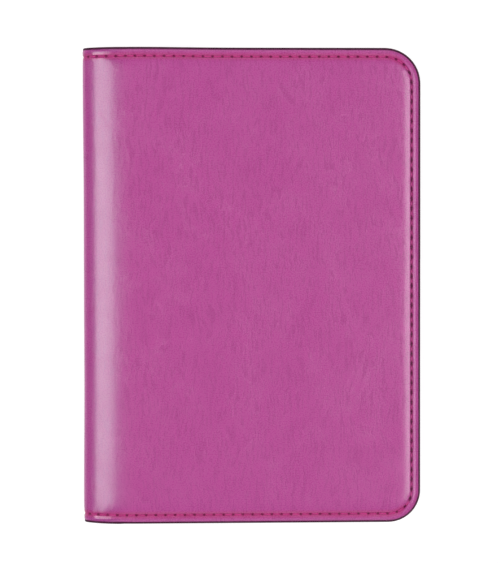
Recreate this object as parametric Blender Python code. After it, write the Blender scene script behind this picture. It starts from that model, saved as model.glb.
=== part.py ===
"""A closed bifold passport holder in padded leather, lying on its back cover.

Frame: +X from the spine to the fore-edge, +Y from tail to head, +Z out of the front cover.
The origin is below the middle of the closed holder, on the surface it lies on. Units are metres.
Every layer of a cover is placed by its depth below that cover's outer face, so the front cover
is the back cover turned over, and only what is sewn inside them differs.
"""

import math

import bmesh
import bpy

MM = 0.001

# Driving dimensions of the closed holder
WIDTH = 100 * MM
HEIGHT = 141 * MM
CORNER_RADIUS = 10.5 * MM
SPINE_REACH = 9 * MM  # how far the rounded spine stands out beyond the covers
JOINT_GAP = 0.3 * MM  # between a cover's layers and the spine's
CORNER_STEPS = 8
SPINE_STEPS = 24
CUT_MARGIN = 2 * CORNER_RADIUS  # how far a cover's cutters run past the plane that they cut to

# Depths below a cover's outer face, outer side first
LEATHER = 0.9 * MM
GLUE_GAP = 0.1 * MM
FOAM = (1.0 * MM, 1.6 * MM)
BOARD = (1.7 * MM, 2.5 * MM)
HEM = (1.6 * MM, 2.5 * MM)  # the leather where it is drawn down to the lining and sewn
LINING = (2.6 * MM, 3.0 * MM)
EDGE_PAINT = (1.5 * MM, 3.1 * MM)
SLEEVE = (3.3 * MM, 3.9 * MM)
SLIP_POCKET = (3.3 * MM, 3.8 * MM)
CARD_SLOTS = {
    "card_slot_upper": (4.1 * MM, 4.6 * MM),
    "card_slot_middle": (4.9 * MM, 5.4 * MM),
    "card_slot_lower": (5.7 * MM, 6.2 * MM),
}
MEETING_GAP = 0.3 * MM
THICKNESS = CARD_SLOTS["card_slot_lower"][1] + MEETING_GAP + SLEEVE[1]

# Insets from the closed holder's outline
PAINT_WIDTH = 0.4 * MM
HEM_INSET = PAINT_WIDTH + GLUE_GAP
SEAM_INSET = 2.7 * MM
PANEL_INSET = 3.4 * MM
PAD_INSET = 4.2 * MM  # foot of the padded middle
PAD_ROUNDING = 0.8 * MM
FILLING_INSET = PAD_INSET + LEATHER + GLUE_GAP

# Sewing
THREAD_RADIUS = 0.25 * MM
THREAD_GAP = 0.08 * MM
NEEDLE_DEPTH = HEM[0] - THREAD_GAP - THREAD_RADIUS
BOBBIN_DEPTH = LINING[1] + THREAD_GAP + THREAD_RADIUS

# The spine's layers, as depths below its outer face
SPINE_LEATHER = (0 * MM, LEATHER)
SPINE_HEM = (0.7 * MM, 1.6 * MM)
SPINE_REINFORCEMENT = (1.0 * MM, 1.4 * MM)
SPINE_LINING = (1.7 * MM, 2.1 * MM)
SPINE_PAINT = (SPINE_HEM[0], SPINE_LINING[1])
SPINE_HEM_LENGTH = 4.5 * MM
HEM_OVERLAP = 1 * MM
SPINE_NEEDLE_DEPTH = SPINE_HEM[0] - THREAD_GAP - THREAD_RADIUS
SPINE_BOBBIN_DEPTH = SPINE_LINING[1] + THREAD_GAP + THREAD_RADIUS

# Inner pockets
PANEL_SPINE_EDGE = -39.3 * MM
SLEEVE_SPINE_EDGE = -5 * MM
THUMB_NOTCH_RADIUS = 10 * MM
CARD_SLOT_TOPS = {
    "card_slot_upper": 8 * MM,
    "card_slot_middle": -6 * MM,
    "card_slot_lower": -20 * MM,
}
CARD_THREAD_X = -37.9 * MM

# Worked out from the above
FORE_EDGE = WIDTH / 2
HEAD = HEIGHT / 2
SPINE_CENTRE = -WIDTH / 2 + SPINE_REACH  # where the covers end and the spine begins
COVER_START = SPINE_CENTRE + JOINT_GAP
SPINE_RISE = THICKNESS / 2

COLOURS = {
    "fuchsia_leather": ((0.47, 0.083, 0.30, 1), 0.35),
    "plum_lining": ((0.10, 0.018, 0.065, 1), 0.8),
    "edge_paint": ((0.055, 0.012, 0.035, 1), 0.5),
    "sewing_thread": ((0.32, 0.03, 0.13, 1), 0.6),
    "grey_board": ((0.42, 0.33, 0.22, 1), 0.9),
    "pad_foam": ((0.62, 0.60, 0.56, 1), 0.95),
}


def clear_scene():
    for obj in list(bpy.data.objects):
        bpy.data.objects.remove(obj)


def new_collection(name):
    collection = bpy.data.collections.new(name)
    bpy.context.scene.collection.children.link(collection)
    return collection


def new_material(name):
    colour, roughness = COLOURS[name]
    material = bpy.data.materials.new(name)
    material.use_nodes = True
    shader = material.node_tree.nodes["Principled BSDF"]
    shader.inputs["Base Color"].default_value = colour
    shader.inputs["Roughness"].default_value = roughness
    shader.inputs["Metallic"].default_value = 0
    return material


clear_scene()
PARTS = new_collection("passport_holder")
CUTTERS = new_collection("cutters")
MATERIALS = {name: new_material(name) for name in COLOURS}


# Making pieces


def place(name, data, material):
    obj = bpy.data.objects.new(name, data)
    data.materials.append(MATERIALS[material])
    PARTS.objects.link(obj)
    return obj


def poly_curve(name, points, closed):
    """A curve through these points: closed ones are flat outlines, open ones run in space."""
    curve = bpy.data.curves.new(name, "CURVE")
    curve.dimensions = "2D" if closed else "3D"
    spline = curve.splines.new("POLY")
    spline.points.add(len(points) - 1)
    for slot, point in zip(spline.points, points):
        slot.co = (*point, 1)
    spline.use_cyclic_u = closed
    return curve


def flat_piece(name, outline, heights, material, rounding=0.0):
    """A flat piece with this outline in XY, between two heights, its rims rounded if asked."""
    curve = poly_curve(name, [(x, y, 0) for x, y in outline], closed=True)
    curve.fill_mode = "BOTH"
    curve.extrude = (max(heights) - min(heights)) / 2 - rounding
    curve.bevel_depth = rounding
    curve.bevel_resolution = 2
    curve.offset = -rounding
    piece = place(name, curve, material)
    piece.location.z = sum(heights) / 2
    return piece


def profile_piece(name, profile, tail, head, material):
    """A piece with this profile in XZ, running in Y from tail to head."""
    curve = poly_curve(name, [(x, z, 0) for x, z in profile], closed=True)
    curve.fill_mode = "BOTH"
    curve.extrude = (head - tail) / 2
    piece = place(name, curve, material)
    piece.location.y = (tail + head) / 2
    piece.rotation_euler.x = math.radians(90)
    return piece


def thread_piece(name, route):
    """A sewing thread along a route of points in space."""
    curve = poly_curve(name, route, closed=False)
    curve.bevel_depth = THREAD_RADIUS
    curve.bevel_resolution = 2
    curve.use_fill_caps = True
    return place(name, curve, "sewing_thread")


def as_mesh(piece):
    """The curve piece made a mesh with its caps welded on, so that a Boolean can use it."""
    bpy.context.view_layer.update()
    evaluated = piece.evaluated_get(bpy.context.evaluated_depsgraph_get())
    mesh = bpy.data.meshes.new_from_object(evaluated)
    shape = bmesh.new()
    shape.from_mesh(mesh)
    bmesh.ops.remove_doubles(shape, verts=shape.verts, dist=0.001 * MM)
    bmesh.ops.recalc_face_normals(shape, faces=shape.faces)
    shape.to_mesh(mesh)
    shape.free()
    name, matrix = piece.name, piece.matrix_world.copy()
    bpy.data.objects.remove(piece)
    solid = bpy.data.objects.new(name, mesh)
    solid.matrix_world = matrix
    PARTS.objects.link(solid)
    return solid


def join(solid, operation, other):
    """A Boolean of one solid with another, which becomes a hidden helper."""
    PARTS.objects.unlink(other)
    CUTTERS.objects.link(other)
    other.hide_render = True
    other.display_type = "WIRE"
    modifier = solid.modifiers.new(operation.lower(), "BOOLEAN")
    modifier.operation = operation
    modifier.solver = "EXACT"
    modifier.object = other


# Outlines


def arc(centre, radius, start, end, steps=CORNER_STEPS):
    """Points on a circle's arc, in degrees, both ends included."""
    angles = [math.radians(start + (end - start) * i / steps) for i in range(steps + 1)]
    return [(centre[0] + radius * math.cos(a), centre[1] + radius * math.sin(a)) for a in angles]


def free_edge(inset, start_x):
    """From the spine at the tail, round the fore-edge's corners, to the spine at the head."""
    radius = CORNER_RADIUS - inset
    corner_x, corner_y = FORE_EDGE - CORNER_RADIUS, HEAD - CORNER_RADIUS
    tail_corner = arc((corner_x, -corner_y), radius, -90, 0)
    head_corner = arc((corner_x, corner_y), radius, 0, 90)
    return [(start_x, inset - HEAD), *tail_corner, *head_corner, (start_x, HEAD - inset)]


def edge_band(outer_inset, inner_inset, start_x):
    """The strip between two insets, along the three free sides."""
    return free_edge(outer_inset, start_x) + free_edge(inner_inset, start_x)[::-1]


def slot_outline(top):
    """A card slot's panel, straight along its opening edge, with the cover's two tail corners."""
    tail, fore = PANEL_INSET - HEAD, FORE_EDGE - PANEL_INSET
    corner = (FORE_EDGE - CORNER_RADIUS, CORNER_RADIUS - HEAD)
    tail_corner = arc(corner, CORNER_RADIUS - PANEL_INSET, -90, 0)
    return [(PANEL_SPINE_EDGE, tail), *tail_corner, (fore, top), (PANEL_SPINE_EDGE, top)]


def sleeve_outline():
    """The passport sleeve, with a thumb notch in the middle of its spine-side edge."""
    notch = arc((SLEEVE_SPINE_EDGE, 0), THUMB_NOTCH_RADIUS, 90, -90, 2 * CORNER_STEPS)
    return free_edge(PANEL_INSET, SLEEVE_SPINE_EDGE) + notch


def spine_arc(depth):
    """Points in XZ round the spine at this depth, from the front cover to the back cover."""
    points = []
    for i in range(SPINE_STEPS + 1):
        angle = math.pi * (0.5 + i / SPINE_STEPS)
        x = SPINE_CENTRE + (SPINE_REACH - depth) * math.cos(angle)
        z = SPINE_RISE + (SPINE_RISE - depth) * math.sin(angle)
        points.append((x, z))
    return points


def spine_profile(depths, overshoot=0.0):
    """The spine's section between two depths, run on past the covers' edges if asked."""
    profile = []
    for points in (spine_arc(depths[0]), spine_arc(depths[1])[::-1]):
        if overshoot:
            first, last = points[0], points[-1]
            points = [(first[0] + overshoot, first[1]), *points, (last[0] + overshoot, last[1])]
        profile += points
    return profile


# Sub-parts


def cover_level(side, depth):
    """The height of a depth below one cover's outer face."""
    return THICKNESS - depth if side == "front" else depth


def layer(side, name, outline, depths, material, rounding=0.0):
    heights = [cover_level(side, depth) for depth in depths]
    return flat_piece(f"{side}_{name}", outline, heights, material, rounding)


def cover_leather(side):
    """The cover's leather: a flat hem, and a raised middle hollowed out for the padding."""
    into_spine = COVER_START - CUT_MARGIN
    past_spine = into_spine - CUT_MARGIN
    hem = layer(side, "leather", free_edge(HEM_INSET, COVER_START), HEM, "fuchsia_leather")
    middle = layer(
        side,
        "leather_middle",
        free_edge(PAD_INSET, into_spine),
        (0, HEM[1]),
        "fuchsia_leather",
        PAD_ROUNDING,
    )
    hollow = layer(
        side,
        "leather_hollow",
        free_edge(PAD_INSET + LEATHER, into_spine - JOINT_GAP),
        (LEATHER, LINING[1]),
        "fuchsia_leather",
    )
    spine_side = flat_piece(
        f"{side}_leather_spine_side",
        [(past_spine, -HEAD), (COVER_START, -HEAD), (COVER_START, HEAD), (past_spine, HEAD)],
        (-CUT_MARGIN, THICKNESS + CUT_MARGIN),
        "fuchsia_leather",
    )
    hem, middle, hollow, spine_side = (as_mesh(p) for p in (hem, middle, hollow, spine_side))
    join(hem, "UNION", middle)
    join(hem, "DIFFERENCE", hollow)
    join(hem, "DIFFERENCE", spine_side)
    return hem


def seam_thread(side, name, depth):
    height = cover_level(side, depth)
    route = [(x, y, height) for x, y in free_edge(SEAM_INSET, COVER_START)]
    return thread_piece(f"{side}_{name}", route)


def cover(side):
    """The pieces that the front and back covers both have."""
    filling = free_edge(FILLING_INSET, COVER_START)
    lining = free_edge(HEM_INSET, COVER_START)
    band = edge_band(0, PAINT_WIDTH, COVER_START)
    return [
        cover_leather(side),
        layer(side, "foam", filling, FOAM, "pad_foam"),
        layer(side, "board", filling, BOARD, "grey_board"),
        layer(side, "lining", lining, LINING, "plum_lining"),
        layer(side, "edge_paint", band, EDGE_PAINT, "edge_paint"),
        seam_thread(side, "needle_thread", NEEDLE_DEPTH),
        seam_thread(side, "bobbin_thread", BOBBIN_DEPTH),
    ]


def passport_sleeve():
    heights = [cover_level("back", depth) for depth in SLEEVE]
    return flat_piece("passport_sleeve", sleeve_outline(), heights, "fuchsia_leather")


def slip_pocket():
    outline = free_edge(PANEL_INSET, PANEL_SPINE_EDGE)
    heights = [cover_level("front", depth) for depth in SLIP_POCKET]
    return flat_piece("slip_pocket_panel", outline, heights, "fuchsia_leather")


def card_slots():
    """Stepped panels that open towards the head, and the thread that closes their spine side."""
    pieces = []
    for name, depths in CARD_SLOTS.items():
        heights = [cover_level("front", depth) for depth in depths]
        outline = slot_outline(CARD_SLOT_TOPS[name])
        pieces.append(flat_piece(name, outline, heights, "fuchsia_leather"))
    lowest_face = CARD_SLOTS["card_slot_lower"][1]
    height = cover_level("front", lowest_face + THREAD_GAP + THREAD_RADIUS)
    tail, head = PANEL_INSET - HEAD, CARD_SLOT_TOPS["card_slot_lower"]
    route = [(CARD_THREAD_X, tail, height), (CARD_THREAD_X, head, height)]
    pieces.append(thread_piece("card_slot_thread", route))
    return pieces


def spine_leather():
    """The spine's leather, stepped in at head and tail where it is drawn down and sewn."""
    end = HEAD - HEM_INSET
    step = end - SPINE_HEM_LENGTH
    past_end = HEAD + HEM_OVERLAP
    whole = spine_profile((0, SPINE_HEM[1]))
    inside = spine_profile((LEATHER, SPINE_LINING[1]), HEM_OVERLAP)
    outside = spine_profile((-LEATHER, SPINE_HEM[0]), HEM_OVERLAP)
    pieces = [
        profile_piece("spine_leather", whole, -end, end, "fuchsia_leather"),
        profile_piece(
            "spine_hollow", inside, HEM_OVERLAP - step, step - HEM_OVERLAP, "fuchsia_leather"
        ),
        profile_piece("spine_tail_step", outside, -past_end, -step, "fuchsia_leather"),
        profile_piece("spine_head_step", outside, step, past_end, "fuchsia_leather"),
    ]
    leather, *cutters = [as_mesh(piece) for piece in pieces]
    for cutter in cutters:
        join(leather, "DIFFERENCE", cutter)
    return leather


def spine_end(end, side):
    """The painted edge and the seam at the spine's head (side 1) or tail (side -1)."""
    tail, head = sorted((side * HEAD, side * (HEAD - PAINT_WIDTH)))
    paint = spine_profile(SPINE_PAINT)
    seam_y = side * (HEAD - SEAM_INSET)
    needle = [(x, seam_y, z) for x, z in spine_arc(SPINE_NEEDLE_DEPTH)]
    bobbin = [(x, seam_y, z) for x, z in spine_arc(SPINE_BOBBIN_DEPTH)]
    return [
        profile_piece(f"spine_edge_paint_{end}", paint, tail, head, "edge_paint"),
        thread_piece(f"spine_needle_thread_{end}", needle),
        thread_piece(f"spine_bobbin_thread_{end}", bobbin),
    ]


def spine():
    end = HEAD - HEM_INSET
    strip_end = end - SPINE_HEM_LENGTH - HEM_OVERLAP - GLUE_GAP
    strip = spine_profile(SPINE_REINFORCEMENT)
    lining = spine_profile(SPINE_LINING)
    return [
        spine_leather(),
        profile_piece("spine_reinforcement", strip, -strip_end, strip_end, "grey_board"),
        profile_piece("spine_lining", lining, -end, end, "plum_lining"),
        *spine_end("head", 1),
        *spine_end("tail", -1),
    ]


# The two fold axes


def half_spine_length():
    """Half the way round the spine's outer face, from one cover to the middle of the spine."""
    points = spine_arc(0)
    return sum(math.dist(a, b) for a, b in zip(points, points[1:])) / 2


def fold_axis(name, height, parent=None):
    """An empty on a fold axis. It stands where the opened spine is as long as the closed one."""
    empty = bpy.data.objects.new(name, None)
    empty.empty_display_size = SPINE_REACH
    PARTS.objects.link(empty)
    empty.location = (SPINE_CENTRE - SPINE_REACH + FOLD_OFFSET, 0, height)
    if parent:
        empty.parent = parent
        empty.location -= parent.location
    return empty


def hang(pieces, axis):
    """Parents pieces to a fold axis, and leaves them where they are."""
    bpy.context.view_layer.update()
    for piece in pieces:
        piece.parent = axis
        piece.matrix_parent_inverse = axis.matrix_world.inverted()


FOLD_OFFSET = (SPINE_REACH + SPINE_RISE - half_spine_length()) / 2

cover("back")
passport_sleeve()
spine_axis = fold_axis("spine_fold_axis", FOLD_OFFSET)
cover_axis = fold_axis("cover_fold_axis", THICKNESS - FOLD_OFFSET, spine_axis)
hang(spine(), spine_axis)
hang([*cover("front"), slip_pocket(), *card_slots()], cover_axis)
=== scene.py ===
"""The looks of a closed passport holder in padded fuchsia leather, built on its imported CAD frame.

Each cover is drawn flat first. A point of a cover is (p, y, depth): p runs from the middle of the
spine to the fore-edge along the outer face, y runs from tail to head, and depth goes in from the
outer face. bent() then wraps those points round the spine, for the front cover or the back one.
"""

import math

import bpy
import numpy as np
from mathutils import Matrix, Quaternion, Vector


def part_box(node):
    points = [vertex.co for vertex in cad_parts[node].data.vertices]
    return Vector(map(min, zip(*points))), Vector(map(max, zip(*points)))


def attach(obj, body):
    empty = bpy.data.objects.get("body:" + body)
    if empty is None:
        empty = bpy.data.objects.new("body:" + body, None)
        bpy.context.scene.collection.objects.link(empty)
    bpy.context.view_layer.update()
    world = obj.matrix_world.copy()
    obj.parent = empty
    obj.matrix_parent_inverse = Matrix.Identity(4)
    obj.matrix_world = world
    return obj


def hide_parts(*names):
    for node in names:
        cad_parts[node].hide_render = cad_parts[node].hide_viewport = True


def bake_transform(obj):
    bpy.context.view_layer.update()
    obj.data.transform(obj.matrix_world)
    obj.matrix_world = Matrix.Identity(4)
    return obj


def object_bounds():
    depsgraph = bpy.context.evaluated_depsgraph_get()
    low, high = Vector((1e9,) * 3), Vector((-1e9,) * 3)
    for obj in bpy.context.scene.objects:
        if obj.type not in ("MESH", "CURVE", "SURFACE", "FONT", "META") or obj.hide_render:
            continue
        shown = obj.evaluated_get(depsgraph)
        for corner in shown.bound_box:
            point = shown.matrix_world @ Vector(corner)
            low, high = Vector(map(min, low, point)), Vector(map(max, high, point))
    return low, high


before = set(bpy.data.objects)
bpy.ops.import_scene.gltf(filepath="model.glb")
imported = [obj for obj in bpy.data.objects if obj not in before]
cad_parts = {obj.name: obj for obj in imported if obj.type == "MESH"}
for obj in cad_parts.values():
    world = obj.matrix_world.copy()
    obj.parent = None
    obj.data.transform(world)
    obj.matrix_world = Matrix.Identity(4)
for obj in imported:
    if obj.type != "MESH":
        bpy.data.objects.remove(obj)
CAD_LOW, CAD_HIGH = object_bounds()
MM = 0.001

# The closed holder
THICKNESS = CAD_HIGH.z
HALF_WIDTH = CAD_HIGH.x
HEAD = CAD_HIGH.y
RISE = THICKNESS / 2  # from the middle of the spine to a cover's outer face
SHOULDER = 16 * MM  # how far the spine's rounding reaches into the cover
COVER_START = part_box("front_lining")[0].x

# The leather's outline, inside the painted edge
PAINT_WIDTH = 0.6 * MM
LEATHER_HEAD = HEAD - PAINT_WIDTH
HEAD_RADIUS = 10 * MM
TAIL_RADIUS = 9 * MM
HEAD_SWELL = (0.20 * MM, 19 * MM, 16 * MM)  # extra height, its middle's p, its spread
TAIL_DRAW = (0.26 * MM, 8 * MM)  # lost height, its spread
FLARE = (0.19 * MM, 0.13 * MM)  # how far the spine spreads at the tail, at the head
FLARE_RISE = (25 * MM, 62 * MM)  # distances from mid-height between which it grows
FLARE_REACH = 14 * MM

# The seam
SEAM_INSET = 2.1 * MM
STITCH_PITCH = 2.85 * MM
CORNER_STITCHES = 2  # from a corner's middle
SKIN_SAMPLES = 4  # for each stitch
LINING_SAMPLES = 2
EDGE_SAMPLES = 3
TIGHT_STITCHES = 2  # beside the middle of the spine
TIGHT_SAMPLES = 14

# Depths below the outer face, at the sewn hem of a cover and of the spine
HEM_DEPTH = 0.56 * MM
SPINE_HEM_DEPTH = (0.10 * MM, 0.02 * MM)  # at the tail, at the head
SPINE_BLEND = (6 * MM, 15 * MM)  # p where the spine's depths turn into the cover's
SPINE_RELIEF = 0.35  # the hem's crown and roll on the spine, as a share of a cover's
PUFF_WIDTH = 6.2 * MM
PUFF_POWER = 4.9
WAVE_HEIGHTS = (0.022, 0.008)  # of the slow and the quick unevenness, in millimetres
GROOVE_DEPTH = (0.40 * MM, 0.62 * MM)  # at head and tail, at the fore-edge
GROOVE_WIDTH = 0.23 * MM
HEM_CROWN = 0.10 * MM
EDGE_ROLL = (0.38 * MM, 0.60 * MM)  # drop to the paint, at head and tail, at the fore-edge
EDGE_ROLL_WIDTH = (0.75 * MM, 1.35 * MM)
EDGE_ROLL_POWER = (1.7, 1.3)
HOLE_DEPTH = 0.18 * MM
HOLE_WIDTH = 0.42 * MM
PUCKER = 0.035 * MM
PUCKER_WIDTH = 1.4 * MM

# The layers' thicknesses, and the depths of their hidden sides
LEATHER = 0.9 * MM
HEM_LEATHER = 0.75 * MM
LINING_MAIN = 2.6 * MM
LINING_SPINE = 1.5 * MM
LINING = 0.4 * MM
HEM_LAYER = 0.34 * MM
HEM_FULL = (2.4 * MM, 4.6 * MM)  # insets where the inner layers leave the hem
GAP = 0.02 * MM  # left between layers that lie on each other
FOAM_INSET = 4.2 * MM
FOAM_START = 0.3 * MM  # past the cover's own start
FOAM_BASE = 1.66 * MM
LEAST_FOAM = 0.1 * MM
STRIP = 0.35 * MM
STRIP_REACH = 8.5 * MM
STRIP_GRID = (50, 40)  # rows, columns

# The panels inside
PANEL = 0.5 * MM
PANEL_MAIN = 3.1 * MM
PANEL_STEP = 0.62 * MM
RIPPLE_HEIGHT = 0.04 * MM
RIPPLE_LENGTHS = (11 * MM, 17 * MM)  # along p and y, for one radian
CREASE_DEPTH = 0.1 * MM
CREASE_INSET = 1.5 * MM
CREASE_WIDTH = 0.28 * MM
NOTCH_RADIUS = 10 * MM
LEAST_ROW = 0.02 * MM  # between a panel's rows

# The bead of edge paint, which has a rounded front and a flat root
PAINT_OVERLAP = 0.06 * MM  # over the rolled leather
OPENING_PAINT = 0.12 * MM
BEAD_STEPS = 9
BEAD_POWER = 0.7
BEAD_ROOT = 0.3  # inwards, as a share of the bead's width
BEAD_TAPER = 0.05  # off the root at top and bottom, of its height

# Thread. Its lift is how far its middle stands above the surface.
THREAD_RADIUS = 0.27 * MM
THREAD_STEPS = 11
THREAD_SIDES = 8
THREAD_SLANT = 0.07 * MM
DIVE_DEPTH = 0.8 * MM
DIVE_POWER = 5
NEEDLE_LIFT = 0.08 * MM
BOBBIN_LIFT = -0.16 * MM
SLOT_THREAD_RADIUS = 0.22 * MM
SLOT_THREAD_LIFT = -0.12 * MM
SLOT_THREAD_ENDS = (4.2 * MM, 1.5 * MM)  # inside the tail, below the upper slot's top


def smoothstep(value, low, high):
    t = np.clip((value - low) / (high - low), 0, 1)
    return t * t * (3 - 2 * t)


def mix(a, b, share):
    return a + (b - a) * share


# The flat cover and its bending


def outer_face():
    """A cover's outer face from the middle of the spine: distance, x, depth, direction."""
    angle = np.linspace(0, math.pi / 2, 600)
    x = -HALF_WIDTH + SHOULDER * (1 - np.cos(angle))
    depth = RISE * (1 - np.sin(angle))
    x = np.append(x, 2 * HALF_WIDTH)
    depth = np.append(depth, 0)
    p = np.append(0, np.cumsum(np.hypot(np.diff(x), np.diff(depth))))
    direction_x, direction_depth = np.gradient(x, p), np.gradient(depth, p)
    length = np.hypot(direction_x, direction_depth)
    return p, x, depth, direction_x / length, direction_depth / length


FACE_P, FACE_X, FACE_DEPTH, FACE_DX, FACE_DD = outer_face()


def p_at(x):
    """How far along the outer face a place in x is."""
    return float(np.interp(x, FACE_X, FACE_P))


def stretch(p, y):
    """Near the spine the leather is taller at the head and drawn in at the tail."""
    swell, middle, spread = HEAD_SWELL
    draw, reach = TAIL_DRAW
    taller = swell * np.exp(-(((p - middle) / spread) ** 2))
    drawn_in = -draw * np.exp(-((p / reach) ** 2))
    return 1 + np.where(y < 0, drawn_in, taller) / HEAD


def flare(p, y):
    """How far the spine spreads outwards near its head and tail."""
    tail, head = FLARE
    spread = np.where(y < 0, tail, head) * smoothstep(np.abs(y), *FLARE_RISE)
    return spread * (1 - smoothstep(p, 0, FLARE_REACH))


def bent(p, y, depth, side):
    """Points of the flat cover, wrapped round the spine, as rows of x, y, z."""
    direction_x = np.interp(p, FACE_P, FACE_DX)
    direction_depth = np.interp(p, FACE_P, FACE_DD)
    y = y * stretch(p, y)
    x = np.interp(p, FACE_P, FACE_X) - direction_depth * depth - flare(p, y)
    down = np.interp(p, FACE_P, FACE_DEPTH) + direction_x * depth
    z = THICKNESS - down if side == "front" else down
    return np.stack([x, np.broadcast_to(y, x.shape), z], axis=1)


EDGE_P = p_at(HALF_WIDTH - PAINT_WIDTH)


def border_at(along):
    """The outline's point and inward direction at each distance along the seam, tail first."""
    pieces = border_pieces()
    rows = []
    for distance in np.atleast_1d(along):
        for length, place in pieces:
            if distance <= length or place is pieces[-1][1]:
                rows.append(place(distance))
                break
            distance -= length
    return np.array(rows)


def straight(start, direction, inward):
    return lambda distance: (*(np.array(start) + distance * np.array(direction)), *inward)


def corner(centre, radius, start):
    """A corner's outline, by distance along the seam inside it."""

    def place(distance):
        angle = start + distance / (radius - SEAM_INSET)
        out = np.array([math.cos(angle), math.sin(angle)])
        return (*(np.array(centre) + radius * out), *-out)

    return place


def border_pieces():
    """(length along the seam, point at a distance) of each straight and corner of the outline."""
    quarter = math.pi / 2
    tail_x, head_x = EDGE_P - TAIL_RADIUS, EDGE_P - HEAD_RADIUS
    tail_y, head_y = TAIL_RADIUS - LEATHER_HEAD, LEATHER_HEAD - HEAD_RADIUS
    return [
        (tail_x, straight((0, -LEATHER_HEAD), (1, 0), (0, 1))),
        (quarter * (TAIL_RADIUS - SEAM_INSET), corner((tail_x, tail_y), TAIL_RADIUS, -quarter)),
        (head_y - tail_y, straight((EDGE_P, tail_y), (0, 1), (-1, 0))),
        (quarter * (HEAD_RADIUS - SEAM_INSET), corner((head_x, head_y), HEAD_RADIUS, 0)),
        (head_x, straight((head_x, LEATHER_HEAD), (-1, 0), (0, -1))),
    ]


def inset_of(p, y):
    """How far inside the outline each point is."""
    inset = np.minimum(EDGE_P - p, LEATHER_HEAD - np.abs(y))
    radius = np.where(y > 0, HEAD_RADIUS, TAIL_RADIUS)
    past_x = p - (EDGE_P - radius)
    past_y = np.abs(y) - (LEATHER_HEAD - radius)
    in_corner = (past_x > 0) & (past_y > 0)
    return np.where(in_corner, radius - np.hypot(past_x, past_y), inset)


def fore_edge_p(y, inset):
    """The outline's p at each y, this far inside it."""
    radius = np.where(y > 0, HEAD_RADIUS, TAIL_RADIUS)
    past_y = np.maximum(np.abs(y) - (LEATHER_HEAD - radius), 0)
    reach = np.sqrt(np.maximum((radius - inset) ** 2 - past_y**2, 0))
    return EDGE_P - radius + reach


LENGTHS = [length for length, _ in border_pieces()]
TAIL_SIDE = LENGTHS[0] + LENGTHS[1] / 2
FORE_SIDE = LENGTHS[1] / 2 + LENGTHS[2] + LENGTHS[3] / 2
HEAD_SIDE = LENGTHS[3] / 2 + LENGTHS[4]
ACROSS_STITCHES = round(TAIL_SIDE / STITCH_PITCH)
FORE_STITCHES = round(FORE_SIDE / STITCH_PITCH)
STITCHES = 2 * ACROSS_STITCHES + FORE_STITCHES


def seam_distance(stitch):
    """Distance along the seam at a stitch number, which may be a fraction."""
    ends = [0, TAIL_SIDE, TAIL_SIDE + FORE_SIDE, TAIL_SIDE + FORE_SIDE + HEAD_SIDE]
    numbers = [0, ACROSS_STITCHES, ACROSS_STITCHES + FORE_STITCHES, STITCHES]
    return np.interp(stitch, numbers, ends)


# The depths of the layers


def on_cover(p):
    """0 on the spine, 1 on the cover."""
    return smoothstep(p, *SPINE_BLEND)


def relief(p):
    """How much of a cover's hem relief there is, which is less on the spine."""
    return mix(SPINE_RELIEF, 1, on_cover(p))


def hem_depth(p, y):
    tail, head = SPINE_HEM_DEPTH
    return mix(np.where(y < 0, tail, head), HEM_DEPTH, on_cover(p))


def hem_layer(p, y, layers):
    """Depth in the hem below the leather and this many inner layers."""
    return hem_depth(p, y) + HEM_LEATHER + HEM_LAYER * layers


def inside_hem(inset):
    """0 in the hem, 1 in the middle of a cover."""
    return smoothstep(inset, *HEM_FULL)


def on_fore_side(stitch):
    """1 beside the fore-edge, 0 at head and tail, turning over in the corners."""
    first, last = ACROSS_STITCHES, STITCHES - ACROSS_STITCHES
    rising = smoothstep(stitch, first - CORNER_STITCHES, first + CORNER_STITCHES)
    return rising * (1 - smoothstep(stitch, last - CORNER_STITCHES, last + CORNER_STITCHES))


def waviness(p, y):
    """Unevenness, from a few crossed waves of 20 to 110 mm."""
    x, y = p / MM, y / MM
    slow_height, quick_height = WAVE_HEIGHTS
    slow = np.sin(x / 9.1 + 0.7) * np.sin(y / 13.3 + 1.9) + np.sin(x / 17 - y / 11 + 4)
    quick = np.sin(x / 3.7 + y / 5.9) * np.sin(y / 4.3 - x / 7.1 + 2.2)
    return (slow_height * slow + quick_height * quick) * MM


def padded_face(p, y, inset):
    """Depth of the leather over the padding, without the seam's groove and the hem's crown."""
    rise = np.clip((inset - SEAM_INSET) / PUFF_WIDTH, 0, 1)
    return hem_depth(p, y) * (1 - rise) ** PUFF_POWER + waviness(p, y) * smoothstep(rise, 0, 1)


def leather_face(p, y, inset, stitch):
    """Depth of the leather's outer surface: padded middle, seam groove, crowned hem, rolled edge."""
    depth = padded_face(p, y, inset)
    across = np.clip(inset / SEAM_INSET, 0, 1)
    depth = depth - HEM_CROWN * relief(p) * np.sin(math.pi * across)
    fore = on_fore_side(stitch)
    roll = np.clip(1 - inset / mix(*EDGE_ROLL_WIDTH, fore), 0, 1) ** mix(*EDGE_ROLL_POWER, fore)
    depth = depth + mix(*EDGE_ROLL, fore) * roll * relief(p)
    near_seam = np.exp(-(((inset - SEAM_INSET) / GROOVE_WIDTH) ** 2))
    depth = depth + mix(*GROOVE_DEPTH, fore) * near_seam
    from_hole = np.abs(stitch - np.round(stitch)) * STITCH_PITCH
    depth = depth + HOLE_DEPTH * near_seam * np.exp(-((from_hole / HOLE_WIDTH) ** 2))
    fading = np.exp(-(((inset - SEAM_INSET) / PUCKER_WIDTH) ** 2))
    return depth + PUCKER * fading * np.cos(2 * math.pi * stitch)


def leather_back(p, y, inset):
    """Depth of the leather's hidden side."""
    thickness = mix(HEM_LEATHER, LEATHER, smoothstep(inset, SEAM_INSET, SEAM_INSET + PUFF_WIDTH))
    return padded_face(p, y, inset) + thickness - GAP


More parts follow.
